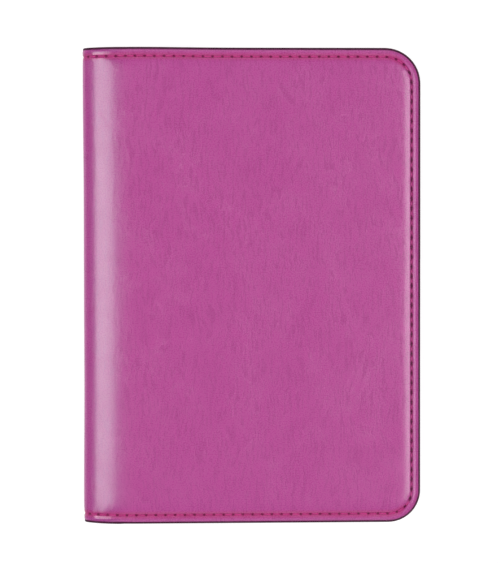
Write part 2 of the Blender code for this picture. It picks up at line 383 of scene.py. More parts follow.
def lining_face(p, y, inset):
    """Depth of the lining's hidden side."""
    main = mix(LINING_SPINE, LINING_MAIN, on_cover(p))
    return mix(hem_layer(p, y, 0), main, inside_hem(inset))


def panel_face(p, y, inset, layer):
    """Depth of a panel's hidden side, layer 0 being the panel next to the lining."""
    return mix(hem_layer(p, y, layer + 1), PANEL_MAIN + PANEL_STEP * layer, inside_hem(inset))


def rippled_face(p, y, inset, layer):
    along_p, along_y = RIPPLE_LENGTHS
    ripple = RIPPLE_HEIGHT * np.sin(p / along_p + y / along_y + layer)
    return panel_face(p, y, inset, layer) + ripple


def panel_thickness(inset):
    return mix(HEM_LAYER, PANEL, inside_hem(inset)) - GAP


# Where the inner panels start and end, which is where the CAD has them
PANEL_START = p_at(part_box("slip_pocket_panel")[0].x)
SLEEVE_START = p_at(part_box("passport_sleeve")[0].x)
SLOTS = ("upper", "middle", "lower")
SLOT_TOPS = [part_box(f"card_slot_{name}")[1].y for name in SLOTS]


def innermost(side, p, y):
    """How many panels lie on the lining's hem at each point."""
    if side == "back":
        return np.where(p > SLEEVE_START, 1, 0)
    layers = np.where(p > PANEL_START, 1, 0)
    for top in SLOT_TOPS:
        layers = layers + np.where((p > PANEL_START) & (y < top), 1, 0)
    return layers


def inner_hem(side, p, y):
    """Depth of the hem's innermost surface."""
    return hem_layer(p, y, innermost(side, p, y) + 1)


# Meshes

UV_SCALE = 10  # one unit of the flat_cover map is a tenth of a metre
AT_MIDDLE = 1e-9  # p of a point that lies at the middle of the spine
FACES_UP = 0.9  # a face's normal is this upright at a layer's end


def new_piece(name, points, faces, uv, material, side="front", sharp=40, seam_uv=None):
    """A mesh piece. The back cover is a mirror image, so its faces are turned round."""
    mesh = bpy.data.meshes.new(name)
    faces = [list(face[::-1] if side == "back" else face) for face in faces]
    mesh.from_pydata(points, [], faces)
    corners = np.concatenate(faces)
    for map_name, values in (("flat_cover", uv), ("seam", seam_uv)):
        if values is not None:
            layer = mesh.uv_layers.new(name=map_name)
            layer.data.foreach_set("uv", np.asarray(values, np.float32)[corners].ravel())
    mesh.validate()
    mesh.shade_smooth()
    mesh.set_sharp_from_angle(angle=math.radians(sharp))
    mesh.materials.append(material)
    piece = bpy.data.objects.new(name, mesh)
    bpy.context.scene.collection.objects.link(piece)
    return piece


def flat_uv(p, y, side):
    """The leather's pattern runs on round the spine, so the back cover's p is negative."""
    return np.stack([(p if side == "front" else -p) * UV_SCALE, y * UV_SCALE], axis=1)


def border_stitches(samples):
    """Stitch numbers along the tail side and the fore side, closer together at the spine."""
    tight = np.arange(TIGHT_STITCHES * TIGHT_SAMPLES) / TIGHT_SAMPLES
    plain = np.arange(TIGHT_STITCHES * samples, ACROSS_STITCHES * samples + 1) / samples
    return np.concatenate([tight, plain]), np.arange(FORE_STITCHES * samples + 1) / samples


def quads_of(grid):
    """The quads of a grid of point numbers, row by row."""
    low, high = grid[:-1], grid[1:]
    filled = (low[:, :-1], low[:, 1:], high[:, 1:], high[:, :-1])
    return np.stack([part.ravel() for part in filled], axis=1)


def filled_middle(tail, head, edge, shares):
    """Points that fill the innermost ring from tail to head, as a Coons patch."""
    points = []
    for j in range(1, len(edge) - 1):
        up = j / (len(edge) - 1)
        spine = mix(tail[0], head[0], up)
        for i, share in enumerate(shares[:-1]):
            blend = mix(tail[i], head[i], up) + mix(spine, edge[j], share)
            flat = mix(mix(tail[0], tail[-1], share), mix(head[0], head[-1], share), up)
            points.append(blend - flat)
    return points


def patch_numbers(rings, count, across, fore):
    """Point numbers of the patch: its rim is the innermost ring, and its own points follow."""
    last = (rings - 1) * count
    grid = np.zeros((fore + 1, across + 1), int)
    grid[0] = last + np.arange(across + 1)
    grid[:, across] = last + across + np.arange(fore + 1)
    grid[fore] = last + count - 1 - np.arange(across + 1)
    own = np.arange((fore - 1) * across).reshape(fore - 1, across)
    grid[1:fore, :across] = rings * count + own
    return grid


def cover_grid(insets, samples):
    """A cover's points and quads: rings inside the outline, and a patch that fills the middle.

    Returns the grid, which is p, y, quads and the rim's point numbers, and each point's stitch number.
    """
    tail_stitches, fore_stitches = border_stitches(samples)
    across, fore = len(tail_stitches) - 1, len(fore_stitches) - 1
    fore_side = ACROSS_STITCHES + fore_stitches[1:]
    stitch = np.concatenate([tail_stitches, fore_side, STITCHES - tail_stitches[::-1][1:]])
    count = len(stitch)
    border = border_at(seam_distance(stitch))
    rings = [border[:, :2] + inset * border[:, 2:] for inset in insets]
    tail, head = rings[-1][: across + 1], rings[-1][::-1][: across + 1]
    edge = rings[-1][across : across + fore + 1]
    middle = filled_middle(tail, head, edge, tail_stitches / ACROSS_STITCHES)
    points = np.concatenate([*rings, middle])
    between_holes = np.full(len(middle), 0.5)
    numbers = np.concatenate([np.tile(stitch, len(rings)), between_holes])
    ring_numbers = np.arange(len(rings) * count).reshape(len(rings), count)
    patch = patch_numbers(len(rings), count, across, fore)
    quads = np.concatenate([quads_of(ring_numbers), quads_of(patch)])
    rim = [*range(count), *ring_numbers[1:, -1], *patch[::-1, 0][1:-1], *ring_numbers[1:, 0][::-1]]
    return (points[:, 0], points[:, 1], quads, rim), numbers


def thick_layer(name, side, grid, outer, inner, material, seam_uv=None):
    """A closed layer of a cover between two depths, given at each point of a grid."""
    p, y, quads, rim = grid
    points = np.concatenate([bent(p, y, outer, side), bent(p, y, inner, side)])
    count = len(p)
    rim = np.array(rim)
    following = np.roll(rim, -1)
    walls = np.stack([rim, rim + count, following + count, following], axis=1)
    faces = np.concatenate([quads, quads[:, ::-1] + count, walls])
    uv = np.tile(flat_uv(p, y, side), (2, 1))
    seam_uv = None if seam_uv is None else np.tile(seam_uv, (2, 1))
    return new_piece(name, points, list(faces), uv, material, side, seam_uv=seam_uv)


def lattice(p, y):
    """A grid given as rows of p and of y: its points, quads and rim."""
    grid = np.arange(p.size).reshape(p.shape)
    rim = [*grid[0], *grid[1:, -1], *grid[-1][::-1][1:], *grid[::-1, 0][1:-1]]
    return p.ravel(), y.ravel(), quads_of(grid), rim


def tube_faces(start, sides, steps):
    """The faces of a closed tube, whose points are numbered along each of its sides in turn."""
    ring = start + np.arange(sides) * steps
    along = np.arange(steps - 1)
    faces = []
    for a, b in zip(ring, np.roll(ring, -1)):
        faces += list(np.stack([a + along, b + along, b + along + 1, a + along + 1], axis=1))
    return faces + [ring[::-1], ring + steps - 1]


def swept_edge(name, side, route, outward, top, bottom, width, material):
    """A rounded bead of edge paint along a route on the flat cover, between two depths."""
    angles = np.linspace(-math.pi / 2, math.pi / 2, BEAD_STEPS)
    root = -BEAD_ROOT * width
    reach = np.concatenate([width * np.cos(angles) ** BEAD_POWER, [root, root]])
    share = np.concatenate([(np.sin(angles) + 1) / 2, [1 - BEAD_TAPER, BEAD_TAPER]])
    rings = []
    for out, down in zip(reach, share):
        place = route + outward * out
        rings.append(bent(place[:, 0], place[:, 1], mix(top, bottom, down), side))
    count, sides = len(route), len(rings)
    points = np.concatenate(rings)
    uv = np.concatenate([flat_uv(route[:, 0], route[:, 1], side)] * sides)
    faces = tube_faces(0, sides, count)
    return new_piece(name, points, faces, uv, material, side, sharp=60)


def outward_of(route):
    """The direction out to the right of a route's own direction, at each of its points."""
    along = np.gradient(route, axis=0)
    along /= np.linalg.norm(along, axis=1)[:, None]
    return np.stack([along[:, 1], -along[:, 0]], axis=1)


def thread_loops(place, count, lift, radius, side):
    """Points, faces and map of one stitch after another.

    place(stitch) gives p, y and the surface's depth at a stitch number. lift is how far the
    thread's middle stands above the surface, which is below it where it is negative.
    """
    steps, sides = THREAD_STEPS, THREAD_SIDES
    u = np.linspace(0, 1, steps)
    sink = DIVE_DEPTH * np.abs(2 * u - 1) ** DIVE_POWER
    slant = THREAD_SLANT * (2 * u - 1)
    turn = np.arange(sides) * 2 * math.pi / sides
    points, faces, uv = [], [], []
    for k in range(count):
        faces += tube_faces(len(points) * steps, sides, steps)
        p, y, surface = place(k + u)
        route = np.stack([p, y], axis=1)
        across = outward_of(route)
        route = route + across * slant[:, None]
        for angle in turn:
            shifted = route + across * (radius * math.cos(angle))
            depth = surface - lift + math.copysign(1, lift) * sink + radius * math.sin(angle)
            points.append((shifted[:, 0], shifted[:, 1], depth))
            uv.append(np.stack([k + u, np.full(steps, angle / 2 / math.pi)], axis=1))
    p, y, depth = (np.concatenate([part[i] for part in points]) for i in range(3))
    return bent(p, y, depth, side), faces, np.concatenate(uv)


def read(items, attribute, width=3, kind=np.float32):
    values = np.zeros(len(items) * width, kind)
    items.foreach_get(attribute, values)
    return values.reshape(-1, width) if width > 1 else values


def meet_at_spine(piece, p):
    """Makes the shading of the two covers' leather run on across the middle of the spine."""
    mesh = piece.data
    normals = read(mesh.corner_normals, "vector")
    corners = read(mesh.loops, "vertex_index", 1, np.int32)
    sizes = read(mesh.polygons, "loop_total", 1, np.int32)
    face_up = np.repeat(np.abs(read(mesh.polygons, "normal")[:, 2]), sizes)
    at_middle = (p[corners % len(p)] < AT_MIDDLE) & (corners < len(p)) & (face_up < FACES_UP)
    normals[at_middle, 2] = 0
    normals /= np.linalg.norm(normals, axis=1)[:, None]
    mesh.normals_split_custom_set(normals.tolist())


# Materials

PER_MM = 100  # one millimetre on the flat_cover map, as a texture scale


class Look:
    """A material being made: each call adds a node and gives its output."""

    def __init__(self, name, **sockets):
        self.material = bpy.data.materials.new(name)
        self.material.use_nodes = True
        self.tree = self.material.node_tree
        self.shader = self.tree.nodes["Principled BSDF"]
        self.to_shader(**sockets)

    def finished(self, colour, rough, normal, **others):
        self.to_shader(Base_Color=colour, Roughness=rough, Normal=normal, **others)
        return self.material

    def put(self, value, socket):
        if isinstance(value, bpy.types.NodeSocket):
            self.tree.links.new(value, socket)
        else:
            socket.default_value = value

    def to_shader(self, **sockets):
        for name, value in sockets.items():
            self.put(value, self.shader.inputs[name.replace("_", " ")])

    def node(self, kind, sockets=None, output=0, **settings):
        node = self.tree.nodes.new("ShaderNode" + kind)
        for key, value in settings.items():
            setattr(node, key, value)
        for name, value in (sockets or {}).items():
            self.put(value, node.inputs[name])
        return node.outputs[output]

    def mapped(self, vector, turn, scale):
        """A vector turned in its plane, in degrees, and scaled."""
        sockets = {"Vector": vector, "Rotation": (0, 0, math.radians(turn)), "Scale": scale}
        return self.node("Mapping", sockets)

    def flat(self, x_scale=1, y_scale=1, turn=0):
        """The flat_cover map in millimetres, stretched and turned."""
        uv = self.node("UVMap", uv_map="flat_cover")
        return self.mapped(uv, turn, (PER_MM * x_scale, PER_MM * y_scale, 1))

    def local(self):
        """The place in space, in millimetres."""
        place = self.node("TexCoord", output="Object")
        return self.mapped(place, 0, (1 / MM, 1 / MM, 1 / MM))

    def noise(self, vector, scale, detail=3, roughness=0.55):
        sockets = {"Vector": vector, "Scale": scale, "Detail": detail, "Roughness": roughness}
        return self.node("TexNoise", sockets)

    def warped(self, vector, scale, amount):
        """The vector pushed about by noise, up to this amount in its own units."""
        push = self.node("TexNoise", {"Vector": vector, "Scale": scale, "Detail": 3}, "Color")
        centred = self.node("VectorMath", {0: push, 1: (0.5, 0.5, 0.5)}, operation="SUBTRACT")
        pushed = self.node("VectorMath", {0: centred, "Scale": 2 * amount}, operation="SCALE")
        return self.node("VectorMath", {0: vector, 1: pushed}, operation="ADD")

    def cells(self, vector, scale, feature="F1"):
        sockets = {"Vector": vector, "Scale": scale, "Randomness": 1}
        return self.node("TexVoronoi", sockets, "Distance", feature=feature)

    def bands(self, vector, scale, distortion):
        sockets = {"Vector": vector, "Scale": scale, "Distortion": distortion, "Detail": 1}
        return self.node("TexWave", sockets, "Fac", wave_type="BANDS")

    def math(self, operation, a, b=0.0):
        return self.node("Math", {0: a, 1: b}, operation=operation)

    def times(self, a, b):
        return self.math("MULTIPLY", a, b)

    def spread(self, value, low, high, to_low=0.0, to_high=1.0):
        """Turns a value from low to high smoothly into one from to_low to to_high."""
        sockets = {"Value": value, "From Min": low, "From Max": high, "To Min": to_low, "To Max": to_high}
        return self.node("MapRange", sockets, interpolation_type="SMOOTHSTEP")

    def tint(self, share, a, b):
        """Colour a turned into colour b by this share."""
        return self.node("Mix", {0: share, 6: a, 7: b}, 2, data_type="RGBA")

    def tones(self, colours, share, third_share):
        """Two colours that mix by one share, and a third laid over them by another."""
        first, second, third = (linear(*colour) for colour in colours)
        return self.tint(third_share, self.tint(share, first, second), third)

    def parts(self, vector):
        """The three numbers of a vector."""
        return self.node("SeparateXYZ", {0: vector}).node.outputs

    def bump(self, height, depth_mm, normal=None):
        sockets = {"Height": height, "Distance": depth_mm * MM, "Strength": 1.0}
        if normal is not None:
            sockets["Normal"] = normal
        return self.node("Bump", sockets)


def linear(red, green, blue):
    """A colour given as it shows on a screen, 0 to 255, made linear."""
    channels = [c / 255 for c in (red, green, blue)]
    return (*(c / 12.92 if c < 0.04 else ((c + 0.055) / 1.055) ** 2.4 for c in channels), 1)


FUCHSIA = linear(186, 74, 150)
FUCHSIA_RIDGE_HIGHLIGHT = linear(201, 86, 165)  # painted highlight on the wrinkles' ridge lines
FUCHSIA_TROUGH_SHADE = linear(168, 64, 135)  # painted shade in the troughs between them
FUCHSIA_SPINE_SHADE = linear(160, 62, 137)  # painted shade round the spine's bend
CRIMSON_DYE_AND_SHADE = linear(180, 48, 114)  # beside the seam: dye pooled in the groove, and painted shade of the groove and thread
# painted shade in the stitch holes
HOLE_SHADE_PLUM = linear(130, 22, 80)
HOLE_SHADE = linear(110, 20, 75)  # beside the fore-edge
PAINT_BLEED = linear(96, 42, 76)
THREAD_HIGHLIGHT = linear(226, 120, 184)  # painted highlight on the thread beside the fore-edge

# The other looks: two colours that mix, and a third laid over them
LINING_COLOURS = ((66, 26, 52), (104, 44, 84), (122, 58, 100))
THREAD_COLOURS = ((186, 42, 121), (220, 70, 154), (228, 98, 168))
PAINT_COLOURS = ((62, 20, 46), (82, 32, 62), (116, 52, 92))
BOARD_COLOURS = ((150, 132, 106), (182, 165, 138), (96, 80, 62))
FOAM_COLOURS = ((150, 146, 138), (214, 210, 200), (200, 188, 160))

# Wrinkles: turn in degrees, millimetres across and along, sway in millimetres
UPRIGHT_WRINKLES = (6, 0.7, 4.2, 2.5)
SLANTING_WRINKLES = (-46, 0.75, 5, 2.5)

# The leather's relief, in millimetres
PEBBLE_RELIEF = 0.008
PORE_RELIEF = 0.005
WAVE_RELIEF = 0.017
LINE_RELIEF = 0.008

# The colours along the seam. A pair is for head and tail, and for the fore-edge.
FORE_BAND = (6, 3)  # millimetres inside the fore-edge
DYE_AND_SHADE_REACH = (1.5, 0.42)
DYE_AND_SHADE_SHARE = 0.66
HOLE_RIM = (0.26, 0.5)
HOLE_SHADE_SHARE = 0.9
HOLE_SHORTENING = (1, 0.55)  # the fore-edge's painted hole shade is longer, standing for the thread's shade in the groove
BLEED_REACH = 0.22
BLEED_SHARE = 0.9
BLEED_STRENGTH = (1, 0.2)
SHADED_ENDS = (0.2, 0.46)  # painted shade at a stitch's ends, as a share of its length
# share of the painted thread highlight beside the fore-edge
THREAD_HIGHLIGHT_SHARE = 0.4


def streaks(look, place, turn, across, along, sway):
    """Fine wrinkles, as smooth waves and as thin ridge lines."""
    swaying = look.warped(place, 1 / 22, sway)
    stretched = look.mapped(look.warped(swaying, 1 / 3.5, 0.35), turn, (1 / across, 1 / along, 1))
    waves = look.noise(stretched, 1, detail=3, roughness=0.6)
    from_middle = look.math("ABSOLUTE", look.math("SUBTRACT", waves, 0.5))
    return waves, look.spread(from_middle, 0, 0.05, 1, 0)


def wrinkles(look, place):
    """Waves and ridge lines, upright in some places and slanting in others."""
    upright, upright_lines = streaks(look, place, *UPRIGHT_WRINKLES)
    slanting, slanting_lines = streaks(look, place, *SLANTING_WRINKLES)
    bands = look.spread(look.noise(place, 0.04, detail=2), 0.52, 0.6)
    waves = look.node("Mix", {0: bands, 2: upright, 3: slanting})
    lines = look.node("Mix", {0: bands, 2: upright_lines, 3: slanting_lines})
    strength = look.spread(look.noise(place, 0.11, detail=2), 0.32, 0.66, 0.6, 1)
    return waves, look.times(lines, strength)


def open_leather_colour(look, from_spine, waves, lines):
    """Fuchsia with painted shade round the spine's bend and in the wrinkles' troughs, and a painted
    highlight on their ridge lines.
    """
    # painted shade round the spine's bend, where the rounded leather turns from the light
    bend_shade = look.times(look.spread(from_spine, 0, 6), look.spread(from_spine, 8, 16, 1, 0))
    colour = look.tint(bend_shade, FUCHSIA, FUCHSIA_SPINE_SHADE)
    # painted shade where the wrinkle waves, and so the bumps, are low
    colour = look.tint(look.spread(waves, 0.3, 0.7, 0.7, 0), colour, FUCHSIA_TROUGH_SHADE)
    # painted highlight on the wrinkles' ridge lines
    return look.tint(look.times(lines, 0.3), colour, FUCHSIA_RIDGE_HIGHLIGHT)


def seam_colour(look, from_spine, colour):
    """Adds crimson beside the seam, partly pooled dye and partly painted shade of the groove and thread,
    painted shade in the stitch holes, and edge paint bled into the rim.
    """
    along, inwards, _ = look.parts(look.node("UVMap", uv_map="seam"))
    off = look.math("ABSOLUTE", inwards)
    inset = SEAM_INSET / MM
    half_pitch = STITCH_PITCH / MM / 2
    from_hole = look.math("PINGPONG", along, half_pitch)
    fore_edge = look.spread(from_spine, EDGE_P / MM - FORE_BAND[0], EDGE_P / MM - FORE_BAND[1])
    # crimson beside the seam: pooled dye, and painted shade of the groove and thread
    dye_and_shade_reach = look.spread(fore_edge, 0, 1, *DYE_AND_SHADE_REACH)
    dye_and_shade = look.spread(look.math("DIVIDE", off, dye_and_shade_reach), 0.3, 1, DYE_AND_SHADE_SHARE, 0)
    colour = look.tint(dye_and_shade, colour, CRIMSON_DYE_AND_SHADE)
    # painted shade in the stitch holes, drawn out along the fore-edge
    along_hole = look.times(from_hole, look.spread(fore_edge, 0, 1, *HOLE_SHORTENING))
    squares = look.math("ADD", look.math("POWER", along_hole, 2), look.math("POWER", off, 2))
    hole_shade = look.spread(look.math("SQRT", squares), *HOLE_RIM, HOLE_SHADE_SHARE, 0)
    colour = look.tint(hole_shade, colour, look.tint(fore_edge, HOLE_SHADE_PLUM, HOLE_SHADE))
    outermost = look.spread(inwards, -inset, BLEED_REACH - inset, BLEED_SHARE, 0)
    painted = look.times(outermost, look.spread(fore_edge, 0, 1, *BLEED_STRENGTH))
    return look.tint(painted, colour, PAINT_BLEED)


def leather_look():
    """Glossy fuchsia leather with pebbles, pores and wrinkles under a clear finish."""
    look = Look("padded_leather", IOR=1.5, Coat_Weight=0.52, Coat_Roughness=0.14, Coat_IOR=1.45)
    place = look.flat()
    from_spine = look.math("ABSOLUTE", look.parts(place)[0])
    pebbles = look.cells(look.warped(place, 0.9, 0.35), 1.15, feature="SMOOTH_F1")
    pores = look.noise(place, 2.6, detail=2)
    patches = look.spread(look.noise(place, 0.07, detail=2), 0.36, 0.62)
    waves, lines = wrinkles(look, place)
    colour = seam_colour(look, from_spine, open_leather_colour(look, from_spine, waves, lines))
    rough = look.spread(pores, 0.3, 0.7, 0.24, 0.32)
    rough = look.math("ADD", rough, look.times(patches, 0.015))
    pebble_height = look.times(pebbles, look.spread(patches, 0, 1, 1, 0.75))
    normal = look.bump(pebble_height, PEBBLE_RELIEF)
    normal = look.bump(pores, PORE_RELIEF, normal)
    normal = look.bump(waves, WAVE_RELIEF, normal)
    normal = look.bump(lines, LINE_RELIEF, normal)
    return look.finished(colour, rough, normal, Coat_Normal=normal)


def lining_look():
    """A fine plum twill."""
    look = Look("plum_twill", Specular_IOR_Level=0.25, Sheen_Weight=0.35, Sheen_Roughness=0.4)
    place = look.flat()
    ribs = look.bands(look.flat(turn=52), 1.15, 0.25)
    crossing = look.bands(look.flat(turn=-28), 1.5, 0.2)
    weave = look.times(ribs, look.spread(crossing, 0, 1, 0.55, 1.0))
    slubs = look.noise(look.flat(0.25, 1.6), 0.5, detail=3)
    colour = look.tones(LINING_COLOURS, weave, look.spread(slubs, 0.35, 0.75, 0, 0.35))
    normal = look.bump(weave, 0.06, look.bump(look.noise(place, 4, detail=2), 0.02))
    return look.finished(colour, look.spread(weave, 0, 1, 0.92, 0.74), normal)


def beside_fore_edge(look, number):
    """1 for the stitches between the corners' middles on the fore side, 0 for the others."""
    first, last = ACROSS_STITCHES, STITCHES - ACROSS_STITCHES
    past_corner = look.spread(number, first, first + 1)
    before_corner = look.spread(number, last - 1, last, 1, 0)
    return look.times(past_corner, before_corner)


def thread_look():
    """Twisted thread, with painted shade at its ends in the holes and a painted highlight beside the
    fore-edge. Its map counts stitches in u, and runs round it in v.
    """
    look = Look("twisted_thread", Specular_IOR_Level=0.35, Sheen_Weight=0.2, Sheen_Roughness=0.4)
    uv = look.node("UVMap", uv_map="flat_cover")
    plies = look.bands(look.mapped(uv, math.degrees(0.5), (9, 9, 1)), 0.35, 0.3)
    fuzz = look.noise(look.local(), 7, detail=3)
    colour = look.tones(THREAD_COLOURS, plies, look.spread(fuzz, 0.4, 0.75, 0, 0.3))
    number = look.parts(uv)[0]
    fore_edge = beside_fore_edge(look, number)
    from_end = look.math("PINGPONG", number, 0.5)
    # painted shade where the thread dives into its holes, longer beside the fore-edge
    shaded_end = look.spread(fore_edge, 0, 1, *SHADED_ENDS)
    hole_shade = look.spread(look.math("DIVIDE", from_end, shaded_end), 0.45, 1, 0.85, 0)
    # painted highlight on the thread beside the fore-edge
    colour = look.tint(look.times(fore_edge, THREAD_HIGHLIGHT_SHARE), colour, THREAD_HIGHLIGHT)
    colour = look.tint(hole_shade, colour, look.tint(fore_edge, HOLE_SHADE_PLUM, HOLE_SHADE))
    normal = look.bump(plies, 0.06, look.bump(fuzz, 0.02))
    return look.finished(colour, look.spread(fuzz, 0.3, 0.7, 0.5, 0.68), normal)


def paint_look():
    """Satin edge paint over cut leather, with paler specks."""
    look = Look("satin_edge_paint", Specular_IOR_Level=0.12)
    place = look.local()
    brushed = look.noise(place, 0.9, detail=4)
    specks = look.noise(place, 5, detail=2)
    speck_share = look.spread(specks, 0.62, 0.72, 0, 0.3)
    colour = look.tones(PAINT_COLOURS, look.spread(brushed, 0.35, 0.7), speck_share)
    normal = look.bump(brushed, 0.05, look.bump(specks, 0.015))
    return look.finished(colour, look.spread(brushed, 0.3, 0.7, 0.42, 0.6), normal)


def board_look():
    """Grey-brown board with fibres and specks."""
    look = Look("fibre_board", Specular_IOR_Level=0.2)
    place = look.local()
    fibres = look.noise(look.warped(place, 0.4, 0.8), 1.4, detail=5, roughness=0.7)
    specks = look.cells(place, 1.1)
    speck_share = look.spread(specks, 0.05, 0.14, 0.5, 0)
    colour = look.tones(BOARD_COLOURS, look.spread(fibres, 0.3, 0.7), speck_share)
    return look.finished(colour, look.spread(fibres, 0.3, 0.7, 0.85, 0.96), look.bump(fibres, 0.08))


def foam_look():
    """Open-celled foam."""
    look = Look("open_foam", Specular_IOR_Level=0.15)
    place = look.local()
    pores = look.cells(place, 2.2, feature="SMOOTH_F1")
    tone = look.noise(place, 0.1, detail=3)
    stain_share = look.spread(tone, 0.4, 0.7, 0, 0.25)
    colour = look.tones(FOAM_COLOURS, look.spread(pores, 0.1, 0.6), stain_share)
    return look.finished(colour, look.spread(pores, 0.1, 0.6, 0.98, 0.88), look.bump(pores, 0.2))


LEATHER_LOOK = leather_look()
LINING_LOOK = lining_look()
THREAD_LOOK = thread_look()
PAINT_LOOK = paint_look()
BOARD_LOOK = board_look()
FOAM_LOOK = foam_look()


# The pieces

SIDES = ("front", "back")


def bend_with(piece, side):
    """Bakes a piece's placement into its mesh, the same for either side."""
    if side == "front":
        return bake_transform(piece)
    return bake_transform(piece)


def in_mm(values):
    return np.array(values) * MM


SKIN_INSETS = [0, 0.12, 0.25, 0.4, 0.55, 0.7, 0.85, 1, 1.15, 1.3, 1.45, 1.6, 1.7, 1.8, 1.9, 2]
SKIN_INSETS += [2.1, 2.2, 2.3, 2.4, 2.55, 2.7, 2.9, 3.2, 3.6, 4.1, 4.7, 5.4, 6.2, 7.2, 8.4]
HEM_INSETS = [0, 0.6, 1.2, 1.8, 2.4, 2.7, 3, 3.3, 3.6, 3.9, 4.2, 4.6, 5.4]
EDGE_STEPS = in_mm([0, 0.3, 0.6, 1, 1.25, 1.5, 1.75, 2, 2.6, 3.6, 5])  # of a panel, from its opening
HEM_STEPS = in_mm([*HEM_INSETS, 7])
MIDDLE_STEPS = 32
ROW_STEP = 2.5 * MM
CORNER_ANGLES = np.radians(np.arange(0, 91, 5))
NOTCH_ANGLES = np.radians(np.arange(-90, 91, 6))


def seam_map(stitch, inset):
    """The seam map: millimetres along the seam, and inwards from it."""
    return np.stack([stitch * STITCH_PITCH / MM, (inset - SEAM_INSET) / MM], axis=1)


def cover_skin(side, grid, stitch):
    p, y = grid[:2]
    inset = inset_of(p, y)
    outer = leather_face(p, y, inset, stitch)
    inner = leather_back(p, y, inset)
    seam_uv = seam_map(stitch, inset)
    skin = thick_layer(f"{side}_skin", side, grid, outer, inner, LEATHER_LOOK, seam_uv)
    meet_at_spine(skin, p)
    bend_with(skin, side)
    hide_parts(f"{side}_leather", "spine_leather")


def cover_lining(side, grid):
    p, y = grid[:2]
    inset = inset_of(p, y)
    outer = lining_face(p, y, inset)
    thick = mix(HEM_LAYER, LINING, inside_hem(inset)) - GAP
    lining = thick_layer(f"{side}_lining_cloth", side, grid, outer, outer + thick, LINING_LOOK)
    bend_with(lining, side)
    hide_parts(f"{side}_lining", "spine_lining")


def seam_route():
    """The painted edge's stitch numbers, and the outline's points there."""
    stitch = np.linspace(0, STITCHES, STITCHES * EDGE_SAMPLES + 1)
    tight = np.linspace(0, TIGHT_STITCHES, TIGHT_STITCHES * TIGHT_SAMPLES + 1)
    stitch = np.unique(np.concatenate([stitch, tight, STITCHES - tight]).round(6))
    return stitch, border_at(seam_distance(stitch))


def cover_edge(side):
    stitch, border = seam_route()
    route, outward = border[:, :2], -border[:, 2:]
    p, y = route.T
    roll = mix(*EDGE_ROLL, on_fore_side(stitch)) * relief(p)
    top = hem_depth(p, y) + roll - PAINT_OVERLAP
    bottom = inner_hem(side, p, y)
    edge = swept_edge(f"{side}_painted_edge", side, route, outward, top, bottom, PAINT_WIDTH, PAINT_LOOK)
    bend_with(edge, side)
    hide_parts(f"{side}_edge_paint", "spine_edge_paint_head", "spine_edge_paint_tail")


def seam_stitches(side):
    """The needle thread on the outside of a cover, and the bobbin thread on its inside."""

    def on_seam(stitch):
        border = border_at(seam_distance(stitch))
        return (border[:, :2] + SEAM_INSET * border[:, 2:]).T

    def outside(stitch):
        p, y = on_seam(stitch)
        return p, y, hem_depth(p, y) + mix(*GROOVE_DEPTH, on_fore_side(stitch))

    def inside(stitch):
        p, y = on_seam(stitch)
        return p, y, inner_hem(side, p, y)

    rows = (("needle", outside, NEEDLE_LIFT), ("bobbin", inside, BOBBIN_LIFT))
    for name, place, lift in rows:
        points, faces, uv = thread_loops(place, STITCHES, lift, THREAD_RADIUS, side)
        thread = new_piece(f"{side}_{name}_stitches", points, faces, uv, THREAD_LOOK, side, sharp=75)
        bend_with(thread, side)
        ends = [f"spine_{name}_thread_{end}" for end in ("head", "tail")]
        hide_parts(f"{side}_{name}_thread", *ends)


def cover_foam(side):
    """The pad between the board and the leather, thinning towards its rim."""
    ys = corner_rows(FOAM_INSET)
    start = np.full(len(ys), p_at(COVER_START) + FOAM_START)
    grid = row_grid(start, fore_edge_p(ys, FOAM_INSET), ys)
    p, y = grid[:2]
    base = np.full(len(p), FOAM_BASE)
    outer = np.minimum(leather_back(p, y, inset_of(p, y)) + GAP, FOAM_BASE - LEAST_FOAM)
    pad = thick_layer(f"{side}_pad", side, grid, outer, base, FOAM_LOOK)
    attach(pad, f"{side}_cover")
    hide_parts(f"{side}_foam")


def corner_rows(inset, top=None):
    """y of the rows of a panel with the cover's corners, or with a straight top edge."""
    tail = inset - LEATHER_HEAD + (TAIL_RADIUS - inset) * (1 - np.cos(CORNER_ANGLES))
    if top is None:
        head = LEATHER_HEAD - inset - (HEAD_RADIUS - inset) * (1 - np.cos(CORNER_ANGLES[::-1]))
    else:
        head = top - EDGE_STEPS[::-1]
    middle = np.linspace(tail[-1], head[0], round((head[0] - tail[-1]) / ROW_STEP) + 1)
    return np.concatenate([tail, middle[1:-1], head])


def row_grid(start, end, ys):
    """A grid of rows with fine columns near both ends, where creases and the hem are."""
    first = start[:, None] + EDGE_STEPS[None, :]
    last = end[:, None] - HEM_STEPS[::-1][None, :]
    share = np.linspace(0, 1, MIDDLE_STEPS)[1:-1]
    middle = mix(first[:, -1:], last[:, :1], share[None, :])
    p = np.concatenate([first, middle, last], axis=1)
    return lattice(p, np.repeat(ys[:, None], p.shape[1], axis=1))


def creased(depth, from_edge):
    """A line pressed into a panel alongside an opening edge."""
    return depth - CREASE_DEPTH * np.exp(-(((from_edge - CREASE_INSET) / CREASE_WIDTH) ** 2))


def panel(name, side, layer, start, ys, open_edges):
    """A leather panel sewn into the hem. open_edges gives how far each point is from one."""
    grid = row_grid(start, fore_edge_p(ys, 0), ys)
    p, y = grid[:2]
    inset = inset_of(p, y)
    outer = rippled_face(p, y, inset, layer)
    inner = creased(outer + panel_thickness(inset), open_edges(p, y))
    seam_uv = seam_map(np.full(len(p), 0.5), inset)  # half a stitch on, so no holes show
    piece = thick_layer(name, side, grid, outer, inner, LEATHER_LOOK, seam_uv)
    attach(piece, f"{side}_cover")
    return piece


